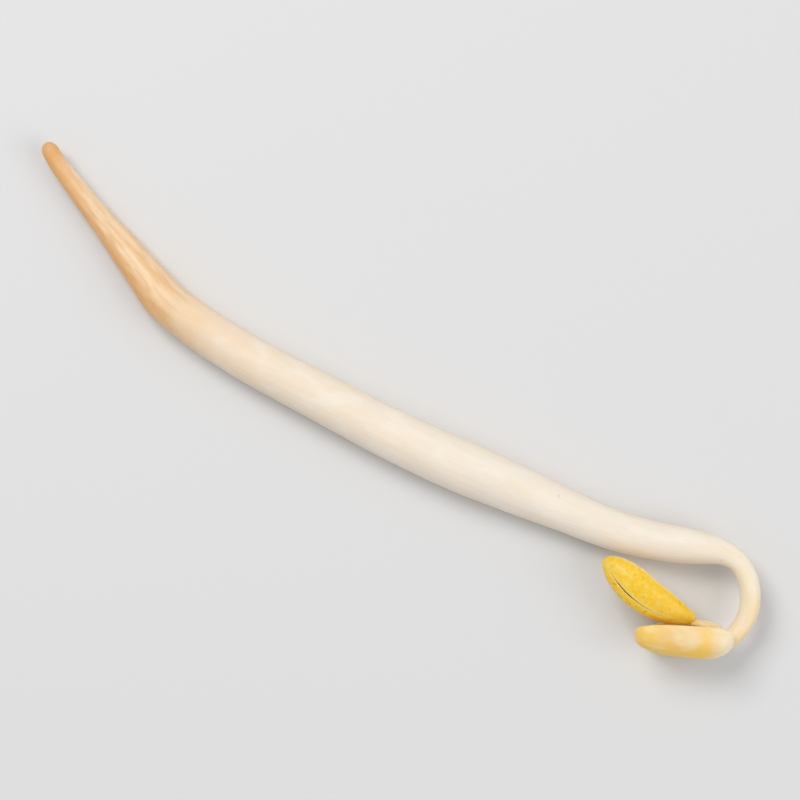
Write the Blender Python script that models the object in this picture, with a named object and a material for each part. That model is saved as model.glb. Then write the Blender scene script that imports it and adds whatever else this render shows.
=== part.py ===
"""A mung bean sprout lying on a flat surface.

A tan tap root widens into a long white stem, the hypocotyl, which narrows and turns back on itself in
a hook. Two cream cotyledons sit on the hook's end one over the other, open along one side, and a short
shoot between them, the epicotyl, carries a pair of folded yellow leaves out through that side.

Every organ is one closed section carried along its own line. Organs that grew together meet with a
small gap. Lengths are in metres, angles in degrees, and the surface it lies on is z = 0.
"""

import math

import bmesh
import bpy
import numpy as np
from mathutils import Matrix, Vector

MM = 0.001
JOIN_GAP = 0.3 * MM
UP = Vector((0.0, 0.0, 1.0))
SHARP_ANGLE = 50.0

# The line of root, stem and hook, measured along it from the root's tip. It ends at the node, where the
# seed leaves sit.
LINE_LENGTH = 64.8 * MM
NODE_AT = (23.4 * MM, -17.0 * MM)
LINE_STEP = 0.02 * MM
COLLAR_AT = 14.9 * MM
FIRST_HEADING = -63.0
TURNS = (
    # starts at, takes, turns by
    (-0.3 * MM, 3.5 * MM, 11.0),  # curl of the root's tip
    (12.7 * MM, 3.0 * MM, 16.0),  # shoulder where root becomes stem
    (15.6 * MM, 8.0 * MM, 8.0),  # sweep of the lower stem
    (29.0 * MM, 10.0 * MM, 5.0),  # sweep of the upper stem
    (47.0 * MM, 8.0 * MM, 15.0),  # stem levels out before the hook
    (56.3 * MM, 3.5 * MM, -40.0),  # hook starts
    (58.0 * MM, 4.0 * MM, -43.0),  # crown of the hook
    (61.2 * MM, 3.2 * MM, -38.0),  # hook turns back to the seed leaves
)
# Half thickness at places along the line.
GIRTH = (
    (0.0 * MM, 0.58 * MM),
    (2.0 * MM, 0.66 * MM),
    (7.2 * MM, 0.90 * MM),
    (10.5 * MM, 1.22 * MM),
    (14.0 * MM, 1.50 * MM),
    (16.5 * MM, 1.58 * MM),
    (24.0 * MM, 1.66 * MM),
    (33.0 * MM, 1.80 * MM),
    (39.0 * MM, 1.86 * MM),
    (48.0 * MM, 1.48 * MM),
    (55.0 * MM, 1.30 * MM),
    (58.6 * MM, 0.74 * MM),
    (61.5 * MM, 0.74 * MM),
    (64.8 * MM, 0.46 * MM),
)
GIRTH_SOFTENING = 1.6 * MM
GIRTH_SOFTENED = 2  # times
# The stem settles a little into its own underside, which gives a narrow flat strip to lie on.
SETTLE = 0.05 * MM
LIFTS = (
    # starts at, takes, rises by
    (0.0 * MM, 11.0 * MM, -0.9 * MM),  # the root's tip is off the surface
    (50.0 * MM, 12.0 * MM, 1.75 * MM),  # the hook climbs to the seed leaves
)
ROOT_TIP_LIFT = 0.9 * MM
TUBE_SIDES = 24
TUBE_SPACING = 1.0 * MM
HOOK_SPACING = 0.55 * MM
HOOK_FROM = 54.0 * MM
ROOT_TIP_DOME = 0.75 * MM
NODE_DOME = 0.45 * MM
DOME_ANGLES = (18.0, 36.0, 54.0, 72.0)

# Seed leaves: half of a long bean each, flat inside and round outside.
SEED_LEAF_RINGS = 20
SEED_LEAF_SIDES = 20
SEED_LEAF_FULLEST_AT = 0.38
SEED_LEAF_BLUNTNESS = 0.55
SEED_LEAF_FACE_RISE = 0.10 * MM
UPPER_SEED_LEAF = {
    "length": 6.8 * MM,
    "width": 3.3 * MM,
    "depth": 1.62 * MM,
    "base": Vector((23.0, -16.85, 2.95)) * MM,
    "heading": 175.0,
    "climb": 3.0,
    "face_heading": 85.0,
    "face_climb": -30.0,
}
LOWER_SEED_LEAF = {
    "length": 5.8 * MM,
    "width": 3.2 * MM,
    "depth": 1.38 * MM,
    "base": Vector((23.0, -17.0, 1.56)) * MM,
    "heading": 180.0,
    "climb": -3.4,
    "face_heading": 270.0,
    "face_climb": 70.0,
}

# The shoot and its two leaves.
SHOOT_HALF_THICKNESS = 0.32 * MM
SHOOT_LINE = (
    Vector((22.85, -16.45, 2.33)) * MM,
    Vector((21.9, -16.05, 2.45)) * MM,
    Vector((21.1, -15.80, 2.60)) * MM,
)
SHOOT_RINGS = 8
LEAF_RINGS = 22
LEAF_SIDES = 9
LEAF_WALL = 0.34
LEAF_SPREAD = 82.0
# A leaf is the stretch of a full outline that starts this far along it and is this long.
LEAF_CUT = 0.045
LEAF_KEPT = 0.945
LEAF_SQUARENESS = 3
LEAF_BLUNTNESS = 0.6
# The line of the slit between the two leaves, from their foot to their tips, and how far it leans over.
SLIT_LINE = (
    Vector((20.65, -15.60, 2.62)) * MM,
    Vector((16.75, -14.70, 3.40)) * MM,
    Vector((14.50, -11.45, 2.62)) * MM,
)
SLIT_LEAN = 20.0
LEFT_LEAF = {
    "outward": 0.80 * MM,
    "half_height": 0.90 * MM,
    "side": -1.0,
}
RIGHT_LEAF = {
    "outward": 1.65 * MM,
    "half_height": 1.00 * MM,
    "side": 1.0,
}

COLOURS = {
    # name: colour, roughness
    "root": ((0.80, 0.58, 0.36), 0.5),
    "hypocotyl": ((0.90, 0.85, 0.76), 0.35),
    "cotyledon_upper": ((0.90, 0.79, 0.52), 0.4),
    "cotyledon_lower": ((0.90, 0.78, 0.50), 0.4),
    "epicotyl": ((0.90, 0.82, 0.60), 0.4),
    "leaf_left": ((0.86, 0.62, 0.05), 0.45),
    "leaf_right": ((0.88, 0.66, 0.08), 0.45),
}


def clear_scene():
    for obj in list(bpy.data.objects):
        bpy.data.objects.remove(obj)


def ease(value):
    """0 before 0, 1 after 1, and a smooth rise between."""
    value = np.clip(value, 0.0, 1.0)
    return value * value * (3.0 - 2.0 * value)


def direction(heading, climb):
    """The unit vector with this heading in plan, and this climb above the surface."""
    turn, rise = math.radians(heading), math.radians(climb)
    return Vector((math.cos(turn) * math.cos(rise), math.sin(turn) * math.cos(rise), math.sin(rise)))


def main_line():
    """Distances along root, stem and hook, with the point and the half thickness at each."""
    along = np.arange(0.0, LINE_LENGTH + LINE_STEP / 2, LINE_STEP)
    heading = np.full(along.size, FIRST_HEADING)
    for start, takes, turn in TURNS:
        heading += turn * ease((along - start) / takes)
    places, halves = np.transpose(GIRTH)
    girth = np.interp(along, places, halves)
    window = int(GIRTH_SOFTENING / LINE_STEP)
    for _ in range(GIRTH_SOFTENED):
        padded = np.pad(girth, (window // 2, window - 1 - window // 2), mode="edge")
        girth = np.convolve(padded, np.full(window, 1.0 / window), mode="valid")
    height = girth - SETTLE + ROOT_TIP_LIFT
    for start, takes, rise in LIFTS:
        height += rise * ease((along - start) / takes)
    plan = np.radians(heading)
    x = np.concatenate([[0.0], np.cumsum(np.cos(plan[:-1]) * LINE_STEP)])
    y = np.concatenate([[0.0], np.cumsum(np.sin(plan[:-1]) * LINE_STEP)])
    points = np.stack([x - x[-1] + NODE_AT[0], y - y[-1] + NODE_AT[1], height], axis=1)
    return along, points, girth


def bend(line, share):
    """The point and the heading at a share of the way along a line bent by its middle point."""
    start, middle, end = line
    point = start * (1 - share) ** 2 + middle * 2 * share * (1 - share) + end * share**2
    heading = (middle - start) * (1 - share) + (end - middle) * share
    return point, heading.normalized()


def circle(centre, forward, half):
    """A ring of points round a line, with two of them lowest, so that a ring can rest on a flat strip."""
    side = UP.cross(forward).normalized()
    top = forward.cross(side)
    ring = []
    for index in range(TUBE_SIDES):
        angle = 2 * math.pi * (index + 0.5) / TUBE_SIDES + math.pi / 2
        ring.append(centre + half * (math.cos(angle) * side + math.sin(angle) * top))
    return ring


def carry(name, rings):
    """A solid drawn by extruding the first ring's face to each next ring, closed at both ends."""
    mesh = bpy.data.meshes.new(name)
    work = bmesh.new()
    cap = work.faces.new([work.verts.new(point) for point in rings[0]])
    for ring in rings[1:]:
        cap = bmesh.ops.extrude_discrete_faces(work, faces=[cap])["faces"][0]
        for vertex, point in zip(cap.verts, ring):
            vertex.co = point
    bmesh.ops.holes_fill(work, edges=work.edges)
    bmesh.ops.recalc_face_normals(work, faces=work.faces)
    work.to_mesh(mesh)
    work.free()
    mesh.shade_smooth()
    mesh.set_sharp_from_angle(angle=math.radians(SHARP_ANGLE))
    colour, roughness = COLOURS[name]
    material = bpy.data.materials.new(name)
    material.use_nodes = True
    shader = material.node_tree.nodes["Principled BSDF"]
    shader.inputs["Base Color"].default_value = (*colour, 1.0)
    shader.inputs["Roughness"].default_value = roughness
    shader.inputs["Metallic"].default_value = 0.0
    mesh.materials.append(material)
    obj = bpy.data.objects.new(name, mesh)
    bpy.context.scene.collection.objects.link(obj)
    return obj


def dome_places(dome):
    """How far from a round end each ring of its dome stands."""
    return [dome * (1 - math.cos(math.radians(angle))) for angle in DOME_ANGLES]


def tube_along_main_line(name, start, end, start_dome=0.0, end_dome=0.0):
    """A stretch of the main line as a round tube, with a dome or a flat cut at each end."""
    along, points, girth = main_line()
    places = [start + place for place in dome_places(start_dome)] if start_dome else [start]
    at = start + start_dome + TUBE_SPACING / 2
    while at < end - end_dome - HOOK_SPACING / 2:
        places.append(at)
        at += HOOK_SPACING if at > HOOK_FROM else TUBE_SPACING
    places += [end - place for place in reversed(dome_places(end_dome))] if end_dome else [end]
    rings = []
    for place in places:
        index = min(int(round(place / LINE_STEP)), along.size - 2)
        forward = Vector(points[index + 1] - points[max(index - 1, 0)]).normalized()
        half = float(girth[index])
        if start_dome and place < start + start_dome:
            half *= math.sqrt(1 - (1 - (place - start) / start_dome) ** 2)
        if end_dome and place > end - end_dome:
            half *= math.sqrt(1 - (1 - (end - place) / end_dome) ** 2)
        rings.append(circle(Vector(points[index]), forward, half))
    for ring in rings:
        for point in ring:
            point.z = max(point.z, 0.0)
    return carry(name, rings)


def seed_leaf(name, size):
    """Half a bean: a section flat inside and round outside, swelling and closing along its length."""
    ahead = direction(size["heading"], size["climb"])
    across = direction(size["face_heading"], size["face_climb"]).cross(ahead).normalized()
    face = ahead.cross(across)
    skew = math.log(0.5) / math.log(SEED_LEAF_FULLEST_AT)
    rings = []
    for step in range(SEED_LEAF_RINGS):
        share = 0.5 - 0.5 * math.cos(math.pi * (step + 0.5) / SEED_LEAF_RINGS)
        swell = math.sin(math.pi * share**skew) ** SEED_LEAF_BLUNTNESS
        centre = size["base"] + ahead * size["length"] * share
        ring = []
        for index in range(SEED_LEAF_SIDES):
            angle = 2 * math.pi * (index + 0.5) / SEED_LEAF_SIDES
            sideways = math.cos(angle) * size["width"] / 2
            outward = math.sin(angle)
            depth = -outward * (size["depth"] if outward > 0 else SEED_LEAF_FACE_RISE)
            ring.append(centre + (across * sideways + face * depth) * swell)
        rings.append(ring)
    return carry(name, rings)


def shoot(name):
    """A thin round stalk along its bent line."""
    rings = []
    for step in range(SHOOT_RINGS):
        point, heading = bend(SHOOT_LINE, step / (SHOOT_RINGS - 1))
        rings.append(circle(point, heading, SHOOT_HALF_THICKNESS))
    return carry(name, rings)


def leaf(name, size):
    """A blade folded along its midrib: a curved wall carried beside the slit, narrow at both ends."""
    rings = []
    for step in range(LEAF_RINGS):
        share = step / (LEAF_RINGS - 1)
        point, ahead = bend(SLIT_LINE, share)
        level = UP.cross(ahead).normalized()
        point -= level * size["side"] * JOIN_GAP / 2
        upright = ahead.cross(level)
        lean = Matrix.Rotation(math.radians(-SLIT_LEAN), 3, ahead)
        out = (lean @ (level * -size["side"])).normalized()
        high = lean @ upright
        swell = (1 - abs(2 * (LEAF_CUT + LEAF_KEPT * share) - 1) ** LEAF_SQUARENESS) ** LEAF_BLUNTNESS
        outer, inner = [], []
        for index in range(LEAF_SIDES):
            angle = math.radians(LEAF_SPREAD) * (2 * index / (LEAF_SIDES - 1) - 1)
            far = out * size["outward"] * swell * math.cos(angle)
            tall = high * size["half_height"] * swell * math.sin(angle)
            outer.append(point + far + tall)
            inner.append(point + (far + tall) * (1 - LEAF_WALL))
        rings.append(outer + inner[::-1])
    return carry(name, rings)


def centre_over_origin(objects):
    """Moves the sprout so that the middle of its box, at its foot, is the origin."""
    corners = [vertex.co for obj in objects for vertex in obj.data.vertices]
    low = Vector(min(corner[axis] for corner in corners) for axis in range(3))
    high = Vector(max(corner[axis] for corner in corners) for axis in range(3))
    shift = Vector((-(low.x + high.x) / 2, -(low.y + high.y) / 2, -low.z))
    for obj in objects:
        obj.data.transform(Matrix.Translation(shift))


clear_scene()
organs = [
    tube_along_main_line("root", 0.0, COLLAR_AT - JOIN_GAP / 2, start_dome=ROOT_TIP_DOME),
    tube_along_main_line("hypocotyl", COLLAR_AT + JOIN_GAP / 2, LINE_LENGTH, end_dome=NODE_DOME),
    seed_leaf("cotyledon_upper", UPPER_SEED_LEAF),
    seed_leaf("cotyledon_lower", LOWER_SEED_LEAF),
    shoot("epicotyl"),
    leaf("leaf_left", LEFT_LEAF),
    leaf("leaf_right", RIGHT_LEAF),
]
centre_over_origin(organs)
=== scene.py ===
"""The finished look of a mung bean sprout that lies on a pale table.

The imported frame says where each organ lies. Each organ is a closed skin of rings worked out with numpy,
in metres, and each material is that organ's own moist tissue.
"""

import bpy
import numpy as np
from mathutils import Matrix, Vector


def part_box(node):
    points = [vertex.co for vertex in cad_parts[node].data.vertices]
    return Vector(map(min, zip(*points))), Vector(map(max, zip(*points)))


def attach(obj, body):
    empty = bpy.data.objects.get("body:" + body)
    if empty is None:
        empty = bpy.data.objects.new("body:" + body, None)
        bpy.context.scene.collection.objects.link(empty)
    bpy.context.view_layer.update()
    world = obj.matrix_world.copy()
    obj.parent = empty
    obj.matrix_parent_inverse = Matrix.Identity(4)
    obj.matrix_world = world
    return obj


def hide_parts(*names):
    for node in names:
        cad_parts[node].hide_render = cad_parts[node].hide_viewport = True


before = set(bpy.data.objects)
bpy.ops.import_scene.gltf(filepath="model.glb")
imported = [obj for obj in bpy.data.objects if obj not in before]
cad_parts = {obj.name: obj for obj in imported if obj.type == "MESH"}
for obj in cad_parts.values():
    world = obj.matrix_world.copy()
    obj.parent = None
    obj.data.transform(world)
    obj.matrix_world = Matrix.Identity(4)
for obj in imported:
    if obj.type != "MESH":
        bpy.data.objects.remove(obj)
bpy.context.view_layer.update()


# Root -----------------------------------------------------------------------------------------
# The tap root left the bean first. It is a thin, tough taper of tan tissue, wrinkled lengthwise and
# browner at its blunt tip, with painted shade making its lower-left side rusty orange. It is one growth
# with the stem and widens into it.

MM = 0.001
UP = np.array([0.0, 0.0, 1.0])
LINE_LENGTH = 65.8 * MM
NODE_PLACE = 64.8 * MM
LINE_STEP = 0.02 * MM
COLLAR_AT = 14.9 * MM
FIRST_HEADING = -63.0
TURNS = (
    # starts at, takes, turns by
    (-0.3 * MM, 3.5 * MM, 11.0),  # curl of the root's tip
    (12.7 * MM, 3.0 * MM, 16.0),  # shoulder where root becomes stem
    (15.6 * MM, 8.0 * MM, 8.0),  # sweep of the lower stem
    (29.0 * MM, 10.0 * MM, 5.0),  # sweep of the upper stem
    (47.0 * MM, 8.0 * MM, 15.0),  # stem levels out before the hook
    (56.3 * MM, 3.5 * MM, -40.0),  # hook starts
    (58.0 * MM, 4.0 * MM, -43.0),  # crown of the hook
    (61.2 * MM, 3.2 * MM, -38.0),  # hook turns back to the seed leaves
    (64.0 * MM, 2.0 * MM, -30.0),  # its end runs on into the seed leaves' foot
)
GIRTH = (
    # place, half thickness
    (0.0 * MM, 0.58 * MM),
    (2.0 * MM, 0.66 * MM),
    (7.2 * MM, 0.90 * MM),
    (10.5 * MM, 1.22 * MM),
    (14.0 * MM, 1.50 * MM),
    (16.5 * MM, 1.58 * MM),
    (24.0 * MM, 1.66 * MM),
    (33.0 * MM, 1.80 * MM),
    (39.0 * MM, 1.86 * MM),
    (48.0 * MM, 1.48 * MM),
    (55.0 * MM, 1.30 * MM),
    (58.6 * MM, 0.74 * MM),
    (61.5 * MM, 0.74 * MM),
    (64.0 * MM, 0.66 * MM),
    (65.8 * MM, 0.60 * MM),
)
GIRTH_SOFTENING = 1.6 * MM
GIRTH_SOFTENED = 2  # times
SETTLE = 0.05 * MM
ROOT_TIP_LIFT = 0.9 * MM
LIFTS = (
    # starts at, takes, rises by
    (0.0 * MM, 11.0 * MM, -0.9 * MM),
    (50.0 * MM, 12.0 * MM, 1.75 * MM),
)
SHARP_ANGLE = 60.0
RING_SPACING = 0.11 * MM
TUBE_SIDES = 96
DOME_RINGS = 14
ROOT_TIP_DOME = 0.75 * MM
NODE_DOME = 0.45 * MM
ROOT_LUMPS = 0.045
ROOT_WRINKLES = 0.028
STEM_LUMPS = 0.018
STEM_WRINKLES = 0.004
HOOK_CREASES = 0.012
ROOTLIKE_TO, ROOT_FADES_OVER = 11 * MM, 5 * MM
HOOKED_FROM, HOOK_COMES_OVER = 55 * MM, 3 * MM
TIP_BROWN = (0.83, 0.66, 0.47)
ROOT_TAN = (0.94, 0.82, 0.67)
# Rusty orange of the root's tip and streaks, and of the painted shade on its lower-left side.
ROOT_RUST_AND_SHADE = (0.885, 0.665, 0.40)
COLLAR_TAN = (0.94, 0.83, 0.69)
COLLAR_CREAM = (0.935, 0.85, 0.745)
STEM_CREAM = (0.94, 0.88, 0.80)
STEM_WHITE = (0.945, 0.90, 0.835)
HOOK_CREAM = (0.955, 0.90, 0.79)
NECK_CREAM = (0.955, 0.88, 0.73)
NODE_CREAM = (0.95, 0.84, 0.66)
MILKY_WHITE = (0.965, 0.935, 0.885)
# Tan of the streaks, and of the painted shade on the sides and underside.
STREAK_AND_SHADE_TAN = (0.945, 0.83, 0.655)
PORE_TAN = (0.80, 0.62, 0.42)
SKIN_STOPS = (
    # place along the line, and the colour there
    (0.0 * MM, TIP_BROWN),
    (1.3 * MM, ROOT_RUST_AND_SHADE),
    (3.0 * MM, COLLAR_TAN),
    (7.0 * MM, ROOT_TAN),
    (14.0 * MM, ROOT_TAN),
    (16.5 * MM, COLLAR_TAN),
    (19.0 * MM, COLLAR_CREAM),
    (25.0 * MM, STEM_CREAM),
    (38.0 * MM, STEM_WHITE),
    (55.0 * MM, STEM_WHITE),
    (60.0 * MM, HOOK_CREAM),
    (62.3 * MM, NECK_CREAM),
    (64.6 * MM, NODE_CREAM),
)


def ease(value):
    """A smooth step: 0 below 0, 1 above 1, and 3t^2 - 2t^3 between."""
    value = np.clip(value, 0.0, 1.0)
    return value * value * (3.0 - 2.0 * value)


def growth_line():
    """Distances along root, stem and hook, with the middle and the half thickness at each.

    The heading is the first heading plus each turn's eased share. The plan is the running sum of steps
    at that heading. The height is the half thickness, less what it settles, plus the eased lifts.
    """
    along = np.arange(0.0, LINE_LENGTH + LINE_STEP / 2, LINE_STEP)
    heading = np.full(along.size, FIRST_HEADING)
    for start, takes, turn in TURNS:
        heading += turn * ease((along - start) / takes)
    half = np.interp(along, *np.transpose(GIRTH))
    window = int(GIRTH_SOFTENING / LINE_STEP)
    for _ in range(GIRTH_SOFTENED):
        padded = np.pad(half, (window // 2, window - 1 - window // 2), mode="edge")
        half = np.convolve(padded, np.full(window, 1.0 / window), mode="valid")
    height = half - SETTLE + ROOT_TIP_LIFT
    for start, takes, rise in LIFTS:
        height += rise * ease((along - start) / takes)
    plan = np.radians(heading)
    x = np.concatenate([[0.0], np.cumsum(np.cos(plan[:-1]) * LINE_STEP)])
    y = np.concatenate([[0.0], np.cumsum(np.sin(plan[:-1]) * LINE_STEP)])
    return along, np.stack([x, y, height], axis=1), half


def unit(vectors):
    """The same vectors, each divided by its length."""
    return vectors / np.linalg.norm(vectors, axis=-1, keepdims=True)


def tube(line, stations, swell):
    """Rings round a line: point = middle + half * (cos a * side + sin a * top) at each angle a.

    swell multiplies the half thickness, ring by ring and side by side. Nothing goes below the table.
    The second result is the tissue's own grain: place across, place up and place along, in millimetres.
    """
    along, middle, half = line
    at = np.stack([np.interp(stations, along, middle[:, axis]) for axis in range(3)], axis=1)
    forward = unit(np.gradient(at, stations, axis=0))
    side = unit(np.cross(UP, forward))
    top = np.cross(forward, side)
    angle = 2 * np.pi * np.arange(swell.shape[1]) / swell.shape[1]
    reach = np.interp(stations, along, half)[:, None] * swell
    across, up = reach * np.cos(angle), reach * np.sin(angle)
    grid = at[:, None] + across[..., None] * side[:, None] + up[..., None] * top[:, None]
    grid[..., 2] = np.maximum(grid[..., 2], 0.0)
    grain = np.stack([across, up, np.broadcast_to(stations[:, None], across.shape)], axis=-1)
    return grid, grain / MM


def ripple(along, around, cells_along, cells_around, seed):
    """Smooth unevenness from -1 to 1: random heights at the crossings of a net, with eased slopes between.

    along runs from 0 to 1 over the net's length, and around from 0 to 1 round it, where the net closes.
    """
    height = np.random.default_rng(seed).uniform(-1.0, 1.0, (cells_along + 2, cells_around))
    row = np.floor(along * cells_along).astype(int)
    column = np.floor(around * cells_around).astype(int)
    down = ease(along * cells_along - row)
    right = ease(around * cells_around - column)
    column, beside = column % cells_around, (column + 1) % cells_around
    near = height[row, column] * (1 - right) + height[row, beside] * right
    far = height[row + 1, column] * (1 - right) + height[row + 1, beside] * right
    return near * (1 - down) + far * down


def net(rings, sides):
    """Shares along and around, from 0 to 1, at every point of a grid of rings."""
    along, around = np.meshgrid(np.linspace(0.0, 1.0, rings), np.arange(sides) / sides, indexing="ij")
    return along, around


def organ(name, grid, marks):
    """A closed skin over a grid of rings, with faces outwards.

    Each ring is joined to the next by a band of quads and closes on itself, and the first and the last
    close on a point at their middle. marks holds vectors kept at every point, such as the grain.
    """
    rings, sides = grid.shape[:2]
    row, column = np.meshgrid(np.arange(rings - 1) * sides, np.arange(sides), indexing="ij")
    beside = (column + 1) % sides
    corners = (row + column, row + beside, row + sides + beside, row + sides + column)
    bands = np.stack(corners, axis=-1).reshape(-1, 4)
    here, after = np.arange(sides), (np.arange(sides) + 1) % sides
    first = np.stack([after, here, np.full(sides, rings * sides)], axis=1)
    far = (rings - 1) * sides
    last = np.stack([far + here, far + after, np.full(sides, rings * sides + 1)], axis=1)

    def with_poles(values):
        return np.concatenate([values.reshape(-1, 3), values[[0, -1]].mean(axis=1)])

    mesh = bpy.data.meshes.new(name)
    mesh.from_pydata(with_poles(grid).tolist(), [], bands.tolist() + first.tolist() + last.tolist())
    for mark, values in marks.items():
        kept = mesh.attributes.new(mark, "FLOAT_VECTOR", "POINT")
        kept.data.foreach_set("vector", with_poles(values).ravel())
    mesh.shade_smooth()
    mesh.set_sharp_from_angle(angle=np.radians(SHARP_ANGLE))
    piece = bpy.data.objects.new(name, mesh)
    bpy.context.scene.collection.objects.link(piece)
    return piece


def seen(colour):
    """A colour as the eye has it, red, green and blue from 0 to 1, as the linear one that a shader takes."""
    return tuple(((part + 0.055) / 1.055) ** 2.4 for part in colour) + (1.0,)


class Tissue:
    """A value in a material's shader. Arithmetic on it adds Math nodes to that material."""

    def __init__(self, material, socket=None):
        self.material, self.socket = material, socket

    def node(self, kind, settings, sockets, output=0):
        """Adds a node of this type, its settings first and then its sockets, and gives one of its outputs."""
        made = self.material.node_tree.nodes.new(kind)
        for setting, value in settings.items():
            if setting == "stops":
                while len(made.color_ramp.elements) < len(value):
                    made.color_ramp.elements.new(1.0)
                for element, (place, colour) in zip(made.color_ramp.elements, value):
                    element.position, element.color = place, colour
            else:
                setattr(made, setting, value)
        for socket, value in sockets.items():
            if isinstance(value, Tissue):
                self.material.node_tree.links.new(value.socket, made.inputs[socket])
            else:
                made.inputs[socket].default_value = value
        return Tissue(self.material, made.outputs[output])

    def math(self, operation, first, second=0.0):
        return self.node("ShaderNodeMath", {"operation": operation}, {0: first, 1: second})

    def __add__(self, other):
        return self.math("ADD", self, other)

    def __sub__(self, other):
        return self.math("SUBTRACT", self, other)

    def __rsub__(self, other):
        return self.math("SUBTRACT", other, self)

    def __mul__(self, other):
        return self.math("MULTIPLY", self, other)

    def __truediv__(self, other):
        return self.math("DIVIDE", self, other)

    __radd__, __rmul__ = __add__, __mul__

    def rise(self, low, high):
        """0 where this value is below low, 1 above high, and eased between."""
        sockets = {"Value": self, "From Min": low, "From Max": high}
        return self.node("ShaderNodeMapRange", {"interpolation_type": "SMOOTHSTEP"}, sockets)

    def mix(self, colour, other):
        """The first colour where this value is 0, and the other where it is 1."""
        sockets = {"Factor": self, 6: colour, 7: other}
        return self.node("ShaderNodeMix", {"data_type": "RGBA"}, sockets, 2)

    def stretch(self, scales):
        """This vector with each of its parts multiplied."""
        return self.node("ShaderNodeVectorMath", {"operation": "MULTIPLY"}, {0: self, 1: scales})

    def cloud(self, scale, detail=2.0, roughness=0.5):
        """Noise from 0 to 1 over this vector."""
        sockets = {"Vector": self, "Scale": scale, "Detail": detail, "Roughness": roughness}
        return self.node("ShaderNodeTexNoise", {}, sockets)

    def part(self, name):
        """One part of this vector: X, Y or Z."""
        return self.node("ShaderNodeSeparateXYZ", {}, {"Vector": self}, name)

    def mark(self, name):
        """A vector kept at the mesh's points."""
        return self.node("ShaderNodeAttribute", {"attribute_name": name}, {}, "Vector")

    def facing(self):
        """The way the surface faces."""
        return self.node("ShaderNodeNewGeometry", {}, {}, "Normal")


def new_tissue(name):
    """An empty material, to be given its tissue by finish."""
    material = bpy.data.materials.new(name)
    material.use_nodes = True
    return Tissue(material)


def finish(piece, tissue, colour, roughness, relief, relief_height, body):
    """Gives a piece its tissue: varying colour, roughness and relief, and the tissue's even values.

    relief runs from 0 to 1, and relief_height is how far that stands. body holds the shader's own values.
    """
    tree = tissue.material.node_tree
    shader = tree.nodes["Principled BSDF"]
    bump = tissue.node("ShaderNodeBump", {}, {"Distance": relief_height, "Height": relief})
    for socket, value in (("Base Color", colour), ("Roughness", roughness), ("Normal", bump)):
        tree.links.new(value.socket, shader.inputs[socket])
    for socket, value in body.items():
        shader.inputs[socket].default_value = value
    piece.data.materials.append(tissue.material)


SOFT_FLESH = {
    "Subsurface Weight": 0.25,
    "Subsurface Radius": (1.0, 0.62, 0.36),
    "Subsurface Scale": 0.35 * MM,
    "IOR": 1.42,
    "Coat Weight": 0.18,
    "Coat Roughness": 0.22,
}


def skin(piece, wrinkle_height):
    """The skin that root and stem share: its colour follows the line from the brown tip to the cream node.

    Each rise below runs between two values of a noise, of a direction or of the millimetres along the line.
    Streaks run lengthwise over milky patches, and a few pores are tan. Painted shade makes the sides and
    underside a warmer tan than the top, and the root's lower-left side rusty orange.
    """
    tissue = new_tissue(piece.name)
    grain, facing = tissue.mark("grain"), tissue.facing()
    along = grain.part("Z")
    blur = grain.stretch((0.5, 0.5, 0.5)).cloud(1.0) - 0.5
    place = (along + blur * 3.0 + grain.part("X") * 0.7) / (LINE_LENGTH / MM)
    stops = [(at / LINE_LENGTH, seen(colour)) for at, colour in SKIN_STOPS]
    base = place.node("ShaderNodeValToRGB", {"stops": stops}, {"Fac": place}, "Color")
    streaks = grain.stretch((2.2, 2.2, 0.26)).cloud(1.0, 4.0, 0.6)
    threads = grain.stretch((9.0, 9.0, 0.5)).cloud(1.0, 3.0, 0.6)
    milky = grain.stretch((0.8, 0.8, 0.35)).cloud(1.0, 3.0).rise(0.46, 0.62)
    stemward = (along + blur * 4.0).rise(13.0, 24.0)
    colour = (milky * stemward * 0.40).mix(base, seen(MILKY_WHITE))
    warm = seen(STREAK_AND_SHADE_TAN)
    colour = (streaks.rise(0.46, 0.74) * 0.24).mix(colour, warm)
    colour = (threads.rise(0.50, 0.74) * 0.20).mix(colour, warm)
    # Painted shade: the sides and underside are mixed towards a warmer tan than the top.
    painted_underside_shade = (1 - facing.part("Z") + blur * 0.6).rise(0.35, 1.5)
    colour = (painted_underside_shade * 0.55).mix(colour, warm)
    rootward = 1 - (along + blur * 4.0).rise(12.5, 18.0)
    # Painted shade: near the root, the side facing left and down in the view is mixed towards rusty orange,
    # broken up by the threads.
    painted_shade_side = (0 - facing.part("X") - facing.part("Y")).rise(-0.1, 1.1)
    colour = (rootward * painted_shade_side * (0.45 + threads * 0.8)).mix(colour, seen(ROOT_RUST_AND_SHADE))
    colour = (rootward * streaks.rise(0.42, 0.68) * 0.55).mix(colour, seen(ROOT_RUST_AND_SHADE))
    colour = (rootward * threads.rise(0.56, 0.72) * 0.35).mix(colour, seen(TIP_BROWN))
    pores = grain.stretch((1.5, 1.5, 1.1)).cloud(1.6, 1.0).rise(0.755, 0.79)
    colour = (pores * 0.25).mix(colour, seen(PORE_TAN))
    roughness = 0.24 + streaks * 0.16 + threads * 0.10 + rootward * 0.10
    relief = threads * 0.7 + streaks * 0.3
    finish(piece, tissue, colour, roughness, relief, wrinkle_height, SOFT_FLESH)


def domed(dome):
    """Ring places over a round end, closer together towards its point, and how far each ring reaches."""
    angle = np.radians(np.linspace(4.0, 90.0, DOME_RINGS))
    return dome * (1 - np.cos(angle)), np.sin(angle)


def in_frame(line):
    """The line moved in plan, so that the root's outermost sides are where the frame has them."""
    root_only = ring_places < COLLAR_AT
    bare = np.broadcast_to(ring_reach[root_only, None], (root_only.sum(), TUBE_SIDES))
    grid, _ = tube(line, ring_places[root_only], bare)
    low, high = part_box("root")
    along, points, half = line
    return along, points + (low.x - grid[..., 0].min(), high.y - grid[..., 1].max(), 0.0), half


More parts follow.
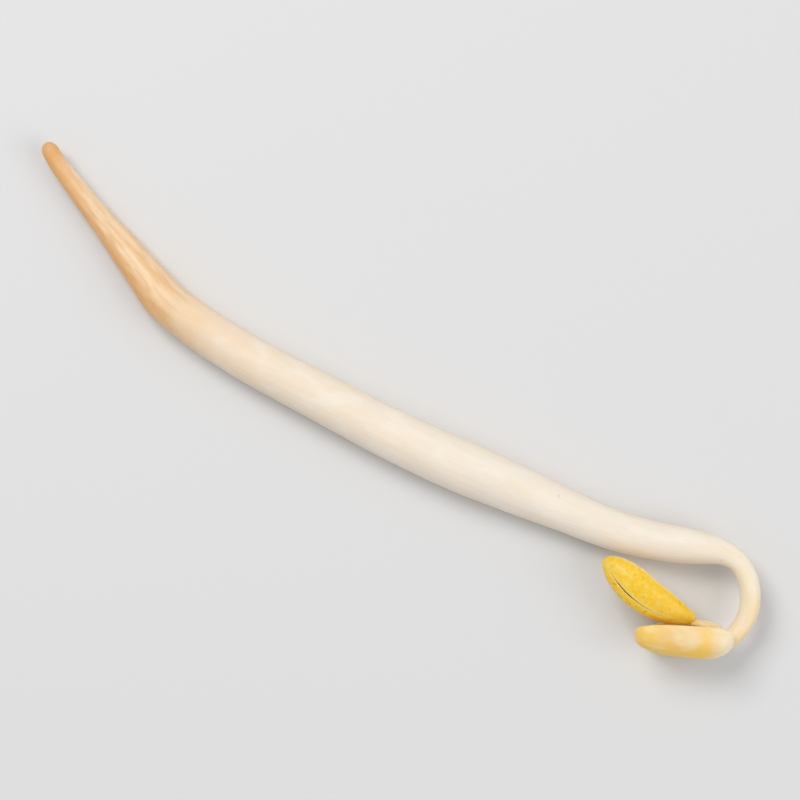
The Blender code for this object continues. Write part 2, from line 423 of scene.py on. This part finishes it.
# Rings for root and stem together, since they are one growth. They are shared out at the collar.
tip_places, tip_reach = domed(ROOT_TIP_DOME)
node_places, node_reach = domed(NODE_DOME)
root_places = np.arange(COLLAR_AT, ROOT_TIP_DOME, -RING_SPACING)[::-1]
stem_places = np.arange(COLLAR_AT + RING_SPACING, LINE_LENGTH - NODE_DOME, RING_SPACING)
ring_places = np.concatenate([tip_places, root_places[1:], stem_places, LINE_LENGTH - node_places[::-1]])
ring_reach = np.ones(ring_places.size)
ring_reach[:DOME_RINGS] = tip_reach
ring_reach[-DOME_RINGS:] = node_reach[::-1]
ring_net = net(ring_places.size, TUBE_SIDES)
rootlike = 1 - ease((ring_places - ROOTLIKE_TO) / ROOT_FADES_OVER)[:, None]
hooked = ease((ring_places - HOOKED_FROM) / HOOK_COMES_OVER)[:, None]
# Each net's two numbers are its cells along and around.
uneven = (ROOT_LUMPS * rootlike + STEM_LUMPS * (1 - rootlike)) * ripple(*ring_net, 36, 3, seed=3)
uneven += ROOT_WRINKLES * rootlike * ripple(*ring_net, 60, 19, seed=4)
uneven += STEM_WRINKLES * (1 - rootlike) * ripple(*ring_net, 40, 32, seed=8)
uneven += HOOK_CREASES * hooked * ripple(*ring_net, 150, 4, seed=9)
growth = in_frame(growth_line())
rings, grain = tube(growth, ring_places, ring_reach[:, None] * (1 + uneven))
collar_ring = int(np.argmin(np.abs(ring_places - COLLAR_AT)))

root = organ("tap_root", rings[: collar_ring + 1], {"grain": grain[: collar_ring + 1]})
skin(root, wrinkle_height=0.05 * MM)
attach(root, "root")
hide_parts("root")


# Stem and hook --------------------------------------------------------------------------------
# The hypocotyl is a smooth, juicy, cream-white stem. It starts at the collar, is thickest past its
# middle, thins where it bends back in the hook, and ends in the node that carries everything else.

stem = organ("white_stem", rings[collar_ring:], {"grain": grain[collar_ring:]})
skin(stem, wrinkle_height=0.04 * MM)
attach(stem, "root")
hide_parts("hypocotyl")


# Seed leaves ----------------------------------------------------------------------------------
# The two cotyledons are the halves of the bean, swollen and softened by water: flat inside, round
# outside, cream where they join the node, with gold painted shade along their lower edge and a painted
# highlight along their upper edge. One lies over the other.

NODE = growth[1][int(NODE_PLACE / LINE_STEP)]
SEED_LEAF_RINGS = 150
SEED_LEAF_SIDES = 128
SEED_LEAF_FULLEST_AT = 0.40
SEED_LEAF_BASE_SQUARENESS = 1.9
SEED_LEAF_TIP_SQUARENESS = 3.0
SEED_LEAF_FACE_RISE = 0.10 * MM
SEED_LEAF_DIMPLES = 0.030
SEED_LEAF_WRINKLES = 0.010
STALK_LENGTH = 0.9 * MM
STALK_SHARE = 0.20
STALK_ENDS_AT = 0.25  # of the leaf's length
STALK_BLUNTNESS = 60
CREAM = (0.955, 0.855, 0.66)
RICH_CREAM = (0.945, 0.79, 0.51)
# Pale cream of the knob, and of the painted highlight along the upper edge.
PALE_CREAM = (0.975, 0.92, 0.80)
# Gold of the far end, and of the painted shade along the lower edge and in the ring behind the knob.
GOLD = (0.98, 0.79, 0.25)
GREENISH = (0.80, 0.74, 0.26)


def direction(heading, climb):
    """The unit vector with this heading in plan, and this climb above the table, in degrees."""
    turn, lift = np.radians(heading), np.radians(climb)
    return np.array([np.cos(turn) * np.cos(lift), np.sin(turn) * np.cos(lift), np.sin(lift)])


def seed_leaf(name, from_node, heading, climb, face_heading, face_climb, length, width, depth, seed):
    """Half a bean on a short stalk.

    A section reaches cos a * width / 2 sideways, and sin a * depth outside or sin a * face rise inside. Its
    share of that is (1 - |2t - 1|^n)^(1/n) at a skewed share t of the length, with n greater towards the
    blunter tip. The stalk runs to the node.
    """
    base = NODE + np.array(from_node) * MM
    ahead = direction(heading, climb)
    across = unit(np.cross(direction(face_heading, face_climb), ahead))
    face = np.cross(ahead, across)
    step = 0.5 - 0.5 * np.cos(np.pi * (np.arange(SEED_LEAF_RINGS) + 0.5) / SEED_LEAF_RINGS)
    place = step * (length + STALK_LENGTH) - STALK_LENGTH
    skew = np.log(0.5) / np.log(SEED_LEAF_FULLEST_AT)
    skewed = np.clip(place / length, 0.0, 1.0) ** skew
    squareness = SEED_LEAF_BASE_SQUARENESS + (SEED_LEAF_TIP_SQUARENESS - SEED_LEAF_BASE_SQUARENESS) * skewed
    body = (1 - np.abs(2 * skewed - 1) ** squareness) ** (1 / squareness)
    blunt = np.sqrt(np.clip(step * STALK_BLUNTNESS, 0.0, 1.0))
    stalk = STALK_SHARE * (1 - ease(place / (STALK_ENDS_AT * length))) * blunt
    swell = np.hypot(body, stalk)[:, None, None]
    along, around = net(SEED_LEAF_RINGS, SEED_LEAF_SIDES)
    angle = 2 * np.pi * around
    uneven = 1 + SEED_LEAF_DIMPLES * ripple(along, around, 5, 5, seed)
    uneven += SEED_LEAF_WRINKLES * ripple(along, around, 9, 34, seed + 1)
    sideways = np.cos(angle) * width / 2
    outward = np.sin(angle)
    outward = -outward * np.where(outward > 0, depth * uneven, SEED_LEAF_FACE_RISE)
    drawn = np.clip(-place / STALK_LENGTH, 0.0, 1.0)[:, None]
    middle = base + ahead * np.maximum(place, 0.0)[:, None] + (NODE - base) * drawn
    section = sideways[..., None] * across + outward[..., None] * face
    grid = middle[:, None] + section * swell
    reach = np.broadcast_to(place[:, None], sideways.shape)
    grain = np.stack([sideways * swell[..., 0], outward * swell[..., 0], reach], axis=-1)
    # The sections run the other way round from the tube's rings, so each is taken in reverse order.
    return organ(name, grid[:, ::-1], {"grain": grain[:, ::-1] / MM})


def bean_flesh(piece, seed_shift):
    """Cream at the node, a golden ring of painted shade behind it, a cream and gold body, gold painted shade
    along the lower edge, and a painted highlight along the upper edge.
    """
    tissue = new_tissue(piece.name)
    grain, facing = tissue.mark("grain"), tissue.facing()
    along = grain.part("Z")
    shifted = tissue.node("ShaderNodeVectorMath", {}, {0: grain, 1: (seed_shift, 0.0, 0.0)})
    broad = shifted.stretch((0.9, 0.9, 0.45)).cloud(1.0, 2.0)
    fine = shifted.stretch((3.0, 3.0, 1.2)).cloud(1.0, 4.0, 0.6)
    colour = broad.rise(0.32, 0.60).mix(seen(CREAM), seen(RICH_CREAM))
    # Painted shade: the side facing the bottom of the view is mixed towards gold.
    lower = (0 - facing.part("Y") + (broad - 0.5) * 1.2).rise(0.05, 1.1) * (along + fine).rise(0.4, 3.4)
    colour = (lower * (0.35 + fine * 0.75)).mix(colour, seen(GOLD))
    # Painted shade: a golden band a short way behind the pale knob.
    ring = (along + fine * 0.8).rise(1.8, 2.5) * (1 - (along + fine * 0.8).rise(2.6, 3.6))
    colour = (ring * 0.45).mix(colour, seen(GOLD))
    far_end = (along + broad * 1.5).rise(5.6, 7.4)
    colour = (far_end * 0.55).mix(colour, seen(GOLD))
    knob = 1 - (along + broad * 1.2).rise(1.0, 3.1)
    colour = (knob * 0.90).mix(colour, seen(PALE_CREAM))
    # Painted highlight: the side facing the top of the view is mixed towards pale cream.
    painted_highlight_rim = (facing.part("Y") + (fine - 0.5) * 0.5).rise(0.35, 0.9)
    colour = (painted_highlight_rim * 0.45).mix(colour, seen(PALE_CREAM))
    tint = fine.rise(0.52, 0.64) * lower * (along + broad).rise(4.6, 6.0)
    colour = (tint * 0.45).mix(colour, seen(GREENISH))
    roughness = 0.28 + fine * 0.18
    finish(piece, tissue, colour, roughness, fine * 0.6 + broad * 0.4, 0.05 * MM, SOFT_FLESH)


upper_seed_leaf = seed_leaf(
    "upper_seed_leaf", (0.05, 0.02, 0.62), heading=175.5, climb=3.6, face_heading=85.0, face_climb=-30.0,
    length=7.0 * MM, width=3.05 * MM, depth=1.60 * MM, seed=21,
)
lower_seed_leaf = seed_leaf(
    "lower_seed_leaf", (-0.3, -0.2, -0.64), heading=180.0, climb=-3.4, face_heading=270.0, face_climb=70.0,
    length=5.7 * MM, width=2.85 * MM, depth=1.34 * MM, seed=31,
)
bean_flesh(upper_seed_leaf, seed_shift=0.0)
bean_flesh(lower_seed_leaf, seed_shift=7.0)
for seed_leaf_piece, node in ((upper_seed_leaf, "cotyledon_upper"), (lower_seed_leaf, "cotyledon_lower")):
    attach(seed_leaf_piece, "root")
    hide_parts(node)


# Shoot ----------------------------------------------------------------------------------------
# The epicotyl is the first stretch of the shoot above the seed leaves: a thin, pale, watery stalk that
# comes out between them at the node and carries the first pair of leaves.

SHOOT_RINGS = 40
SHOOT_SIDES = 40
SHOOT_FROM_NODE = ((-0.10, 0.10, 0.05), (-1.3, 0.75, 0.15), (-3.1, 1.28, 0.48))
SHOOT_HALF_THICKNESS = 0.33 * MM
SHOOT_TAPER = 0.15
SHOOT_END_SQUARENESS = 12
SHOOT_LUMPS = 0.05
SHOOT_CREAM = (0.955, 0.875, 0.70)


def bend(points, share):
    """Places and headings on a line bent by its middle point: the usual three-point curve."""
    start, middle, end = (NODE + np.array(point) * MM for point in points)
    share = share[:, None]
    place = start * (1 - share) ** 2 + middle * 2 * share * (1 - share) + end * share**2
    return place, unit((middle - start) * (1 - share) + (end - middle) * share)


share = np.linspace(0.0, 1.0, SHOOT_RINGS)
place, ahead = bend(SHOOT_FROM_NODE, share)
shoot_line = (share, place, SHOOT_HALF_THICKNESS * (1 - SHOOT_TAPER * share))
rounded = np.sqrt(1 - np.abs(2 * np.clip(share, 0.02, 0.98) - 1) ** SHOOT_END_SQUARENESS)[:, None]
shoot_net = net(SHOOT_RINGS, SHOOT_SIDES)
lumps = 1 + SHOOT_LUMPS * ripple(*shoot_net, 5, 4, seed=41)
shoot_grid, shoot_grain = tube(shoot_line, share, rounded * lumps)
shoot = organ("shoot_stalk", shoot_grid, {"grain": shoot_grain})
shoot_tissue = new_tissue(shoot.name)
shoot_streaks = shoot_tissue.mark("grain").stretch((3.0, 3.0, 0.004)).cloud(1.0, 3.0)
shoot_colour = shoot_streaks.rise(0.4, 0.7).mix(seen(SHOOT_CREAM), seen(RICH_CREAM))
finish(shoot, shoot_tissue, shoot_colour, 0.28 + shoot_streaks * 0.15, shoot_streaks, 0.02 * MM, SOFT_FLESH)
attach(shoot, "root")
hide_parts("epicotyl")


# First leaves ---------------------------------------------------------------------------------
# The first pair of leaves has grown without light, so it is yellow. Each blade is folded along its
# midrib and the two are still pressed together, edges inwards, so that a slit shows between them.

LEAF_RINGS = 170
LEAF_SIDES = 128
LEAF_SPREAD = 88.0
LEAF_THICKNESS = 0.24 * MM
LEAF_CUT = 0.03
LEAF_KEPT = 0.96
LEAF_TAPER = 1.25
LEAF_SQUARENESS = 2.4
LEAF_BLUNTNESS = 0.6
SLIT_LINE = ((-2.75, 1.25, 0.45), (-6.87, 1.95, 1.25), (-8.95, 5.62, 0.45))
# The blades' edges press into each other by the closed depth, and just part at the slit's widest place.
SLIT_HALF_WIDTH = 0.034 * MM
SLIT_CLOSED = 0.03 * MM
SLIT_WIDEST_AT = 0.68
SLIT_REACH = 0.15
SLIT_LEAN = 20.0
MIDRIB_HEIGHT = 0.07 * MM
MIDRIB_WIDTH = 0.13  # radians across the blade
PUCKER_HEIGHT = 0.03 * MM
VEIN_HEIGHT = 0.014 * MM
VEIN_PITCH = 0.62 * MM
VEIN_SLANT = 0.55 * MM
VEIN_WIDTH = 0.13  # of the pitch
VEIN_STARTS_OVER = 0.25  # radians from the midrib
EDGE_FROM = 0.86  # of the spread
LEAF_YELLOW = (0.968, 0.772, 0.10)
LEAF_BRIGHT = (0.965, 0.83, 0.41)
# Gold of the painted shade on the lower-left side of the leaves' base.
LEAF_SHADE_GOLD = (0.94, 0.71, 0.02)
LEAF_RIM = (0.97, 0.87, 0.66)
LEAF_SPOT = (0.84, 0.57, 0.02)


def leaf(name, side, outward, half_height, seed):
    """A blade folded along its midrib, carried along its side of the slit.

    Across the blade runs an angle from -spread to spread, with the midrib at 0: cos of it reaches outward
    and sin of it up. The wall is thickest at the midrib and thins to nothing at the edges. Side veins
    leave the midrib at a slant, and the blade puckers up between them.
    """
    share = np.linspace(0.0, 1.0, LEAF_RINGS)
    middle, ahead = bend(SLIT_LINE, share)
    level = unit(np.cross(UP, ahead))
    gap = SLIT_HALF_WIDTH * np.exp(-(((share - SLIT_WIDEST_AT) / SLIT_REACH) ** 2)) - SLIT_CLOSED
    middle = middle - side * level * gap[:, None]
    upright = np.cross(ahead, level)
    lean = np.radians(SLIT_LEAN)
    out = -side * (level * np.cos(lean) - upright * np.sin(lean))
    high = upright * np.cos(lean) + level * np.sin(lean)
    full = np.abs(2 * (LEAF_CUT + LEAF_KEPT * share**LEAF_TAPER) - 1) ** LEAF_SQUARENESS
    full = (1 - full) ** LEAF_BLUNTNESS
    along, around = net(LEAF_RINGS, LEAF_SIDES)
    round_wall = 2 * np.pi * around
    across = side * np.cos(round_wall) * np.radians(LEAF_SPREAD)
    wall = np.sin(round_wall)
    length = np.linalg.norm(np.diff(middle, axis=0), axis=1).sum()
    slant = (along * length - np.abs(across) / np.radians(LEAF_SPREAD) * VEIN_SLANT) / VEIN_PITCH
    vein = np.exp(-(((slant % 1.0) - 0.5) / VEIN_WIDTH) ** 2) * ease(np.abs(across) / VEIN_STARTS_OVER)
    midrib = np.exp(-((across / MIDRIB_WIDTH) ** 2))
    edge = ease((np.abs(across) / np.radians(LEAF_SPREAD) - EDGE_FROM) / (1 - EDGE_FROM))
    puckers = PUCKER_HEIGHT * ripple(along, around, 16, 14, seed)
    relief = MIDRIB_HEIGHT * midrib + VEIN_HEIGHT * vein + puckers
    thick = LEAF_THICKNESS * (0.5 + 0.5 * np.cos(across)) * np.sign(wall) * np.sqrt(np.abs(wall)) / 2
    swell = full[:, None]
    far = (outward * swell - LEAF_THICKNESS / 2 + thick + relief) * np.cos(across)
    tall = (half_height * swell - LEAF_THICKNESS / 2 + thick + relief * 0.6) * np.sin(across)
    grid = middle[:, None] + far[..., None] * out[:, None] + tall[..., None] * high[:, None]
    blade = np.stack([across * swell, np.sign(wall), along * length / MM], axis=-1)
    ribs = np.stack([midrib, vein, edge], axis=-1)
    return organ(name, grid, {"blade": blade, "ribs": ribs})


def leaf_tissue(piece, seed_shift):
    """Bright yellow with pale puckers and darker spots, gold painted shade on the base's lower-left side, and
    pale midrib and edges.
    """
    tissue = new_tissue(piece.name)
    blade, ribs = tissue.mark("blade"), tissue.mark("ribs")
    position = tissue.node("ShaderNodeTexCoord", {}, {}, "Object").stretch((1 / MM, 1 / MM, 1 / MM))
    shifted = tissue.node("ShaderNodeVectorMath", {}, {0: position, 1: (seed_shift, 0.0, 0.0)})
    broad = shifted.cloud(0.8, 2.0)
    fine = shifted.cloud(3.4, 3.0, 0.6)
    along = blade.part("Z")
    tipward = (along + broad * 4.0).rise(3.0, 6.5)
    facing = tissue.facing()
    # Painted shade: towards the base, the side facing left and down in the view is mixed towards gold.
    lower = (0 - facing.part("X") - facing.part("Y")).rise(-0.5, 1.0)
    colour = ((1 - tipward) * lower).mix(seen(LEAF_YELLOW), seen(LEAF_SHADE_GOLD))
    colour = (fine.rise(0.45, 0.66) * (0.25 + tipward * 0.6)).mix(colour, seen(LEAF_BRIGHT))
    spots = shifted.cloud(2.6, 1.0).rise(0.66, 0.74)
    colour = (spots * 0.55).mix(colour, seen(LEAF_SPOT))
    colour = (ribs.part("Y") * 0.12).mix(colour, seen(LEAF_BRIGHT))
    colour = (ribs.part("X") * 0.75).mix(colour, seen(LEAF_RIM))
    colour = (ribs.part("Z") * 0.30).mix(colour, seen(LEAF_RIM))
    roughness = 0.34 + fine * 0.18
    finish(piece, tissue, colour, roughness, fine, 0.03 * MM, SOFT_FLESH | {"Subsurface Weight": 0.2})


left_leaf = leaf("left_leaf_blade", side=-1.0, outward=0.86 * MM, half_height=0.95 * MM, seed=51)
right_leaf = leaf("right_leaf_blade", side=1.0, outward=1.80 * MM, half_height=1.00 * MM, seed=61)
leaf_tissue(left_leaf, seed_shift=0.0)
leaf_tissue(right_leaf, seed_shift=9.0)
for leaf_piece, node in ((left_leaf, "leaf_left"), (right_leaf, "leaf_right")):
    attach(leaf_piece, "root")
    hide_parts(node)


# Table, light and camera ----------------------------------------------------------------------
# The sprout lies on a plain pale table top of matt board, in soft window light from above and to the
# left, with a weaker fill from the right. The camera looks straight down.

TABLE_REACH = 1.2
TABLE_GREY = (0.86, 0.86, 0.86)
BOARD_ROUGHNESS = 0.7
VIEW_HEIGHT = 0.165
LENS = 104.0  # millimetres
NEAREST_SEEN = 0.01
SKY = (0.97, 0.98, 1.0)
SKY_STRENGTH = 0.50

table_mesh = bpy.data.meshes.new("table_top")
square = TABLE_REACH * np.array([(-1, -1, 0), (1, -1, 0), (1, 1, 0), (-1, 1, 0)])
table_mesh.from_pydata(square.tolist(), [], [(0, 1, 2, 3)])
table_top = bpy.data.objects.new("table_top", table_mesh)
bpy.context.scene.collection.objects.link(table_top)
board = new_tissue("matt_board")
board_shader = board.material.node_tree.nodes["Principled BSDF"]
board_shader.inputs["Base Color"].default_value = seen(TABLE_GREY)
board_shader.inputs["Roughness"].default_value = BOARD_ROUGHNESS
table_mesh.materials.append(board.material)


def window(name, place, size, watts, colour):
    """A square soft light at a place, turned towards the sprout."""
    light = bpy.data.lights.new(name, "AREA")
    light.size, light.energy, light.color = size, watts, colour
    lamp = bpy.data.objects.new(name, light)
    lamp.location = place
    bpy.context.scene.collection.objects.link(lamp)
    lamp.rotation_euler = lamp.location.to_track_quat("Z", "Y").to_euler()


window("window_light", (-0.16, 0.20, 0.32), size=0.20, watts=0.92, colour=(1.0, 0.98, 0.95))
window("fill_light", (0.28, -0.10, 0.26), size=0.30, watts=0.53, colour=(1.0, 0.98, 0.96))

world = bpy.data.worlds.new("room")
world.use_nodes = True
world.node_tree.nodes["Background"].inputs["Color"].default_value = seen(SKY)
world.node_tree.nodes["Background"].inputs["Strength"].default_value = SKY_STRENGTH
bpy.context.scene.world = world
bpy.context.scene.view_settings.view_transform = "Standard"

camera_data = bpy.data.cameras.new("camera")
camera_data.lens = LENS
camera_data.clip_start = NEAREST_SEEN
camera = bpy.data.objects.new("camera", camera_data)
camera.location = (0.0, 0.0, VIEW_HEIGHT)
bpy.context.scene.collection.objects.link(camera)
bpy.context.scene.camera = camera
